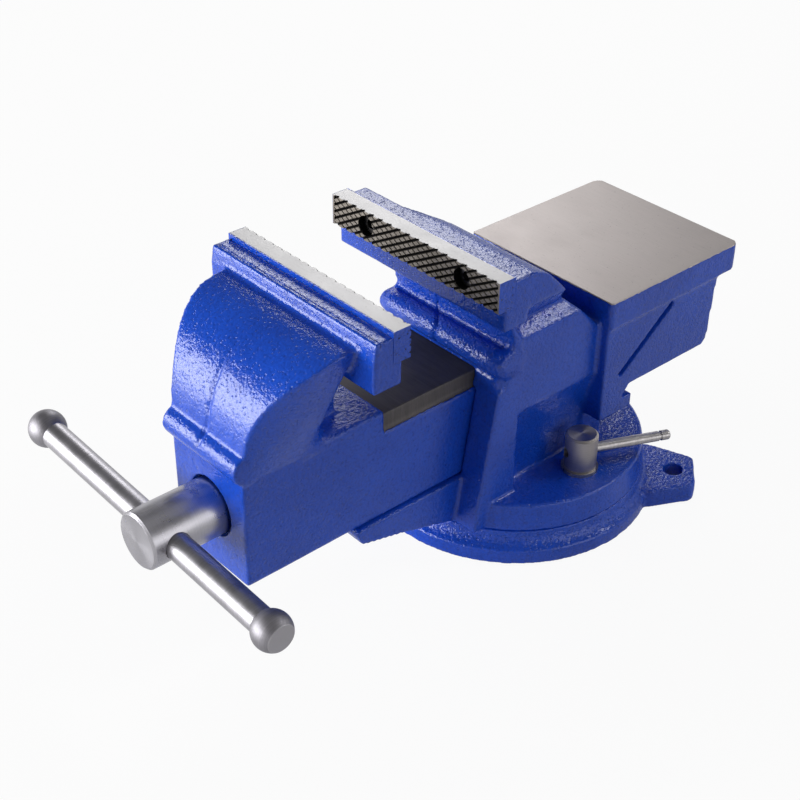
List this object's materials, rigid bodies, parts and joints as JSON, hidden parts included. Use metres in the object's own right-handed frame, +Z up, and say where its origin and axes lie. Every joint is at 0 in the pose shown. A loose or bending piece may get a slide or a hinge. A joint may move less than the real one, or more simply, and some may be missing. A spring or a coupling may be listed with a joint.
{
  "type": "bench vise",
  "caption": "Swivel-base engineer's bench vise: square slide and nose jaw, serrated jaw plates, rear anvil, lead screw with sliding bar handle, and swivel lock bolts.",
  "frame": {"origin": "swivel axis at the underside of the base, which is also the centre of the bolt circle", "axes": "+Z up the swivel axis, jaws across X, lead screw along Y with the handle at -Y and the anvil at +Y"},
  "size_m": [0.2042, 0.3771, 0.1861],
  "materials": {
    "enamel": "glossy cobalt blue enamel over rough cast iron, bare on the machined faces",
    "plate_steel": "ground top edge, dark diamond-cut gripping face",
    "black_steel": "black oxide",
    "bare_iron": "bare cast iron",
    "turned_steel": "turned, with fine lathe marks",
    "knob_steel": "satin turned",
    "lever_steel": "bright drawn rod",
    "plain_steel": "plain steel",
    "spring_steel": "oil-tempered wire"
  },
  "bodies": {
    "base": {"swivel_base": "enamel"},
    "fixed_jaw": {"fixed_jaw_body": "enamel", "fixed_jaw_plate": "plate_steel", "fixed_plate_screws": "black_steel", "spindle_nut": "bare_iron", "nut_bolts": "black_steel", "t_nut_right": "bare_iron", "t_nut_left": "bare_iron", "lock_washer_right": "plain_steel", "lock_washer_left": "plain_steel"},
    "moving_jaw": {"moving_jaw_body": "enamel", "moving_jaw_plate": "plate_steel", "moving_plate_screws": "black_steel"},
    "spindle": {"lead_screw": "turned_steel", "thrust_washer": "plain_steel", "take_up_spring": "spring_steel", "spring_washer": "plain_steel", "cross_pin": "plain_steel"},
    "handle": {"handle_bar": "turned_steel", "handle_knob_left": "knob_steel", "handle_knob_right": "knob_steel"},
    "lock_right": {"lock_bolt_right": "turned_steel"},
    "lock_left": {"lock_bolt_left": "turned_steel"},
    "lever_right": {"lock_lever_right": "lever_steel"},
    "lever_left": {"lock_lever_left": "lever_steel"}
  },
  "joints": [
    {"name": "swivel", "type": "hinge", "parent": "base", "child": "fixed_jaw", "pos_m": [0, 0, 0], "axis": [0, 0, 1], "continuous": true},
    {"name": "jaw_slide", "type": "slide", "parent": "fixed_jaw", "child": "moving_jaw", "axis": [0, 1, 0], "range_m": [-0.0683, 0.0564]},
    {"name": "spindle_turn", "type": "hinge", "parent": "moving_jaw", "child": "spindle", "pos_m": [0, -0.2, 0.08305], "axis": [0, 1, 0], "range_deg": [-4917, 4060]},
    {"name": "handle_slide", "type": "slide", "parent": "spindle", "child": "handle", "axis": [0.999, 0, -0.0436], "range_m": [-0.063, 0.079]},
    {"name": "lock_turn_right", "type": "hinge", "parent": "fixed_jaw", "child": "lock_right", "pos_m": [0.0553, 0, 0.0476], "axis": [0, 0, 1], "range_deg": [-139, 22]},
    {"name": "lock_turn_left", "type": "hinge", "parent": "fixed_jaw", "child": "lock_left", "pos_m": [-0.0553, 0, 0.0476], "axis": [0, 0, 1], "range_deg": [-22, 139]},
    {"name": "lever_slide_right", "type": "slide", "parent": "lock_right", "child": "lever_right", "axis": [0.4131, 0.9107, 0], "range_m": [-0.028, 0]},
    {"name": "lever_slide_left", "type": "slide", "parent": "lock_left", "child": "lever_left", "axis": [-0.4131, 0.9107, 0], "range_m": [-0.028, 0]}
  ],
  "couplings": [
    {"joint": "jaw_slide", "follows": "spindle_turn", "m_per_rad": 0.00079577}
  ]
}
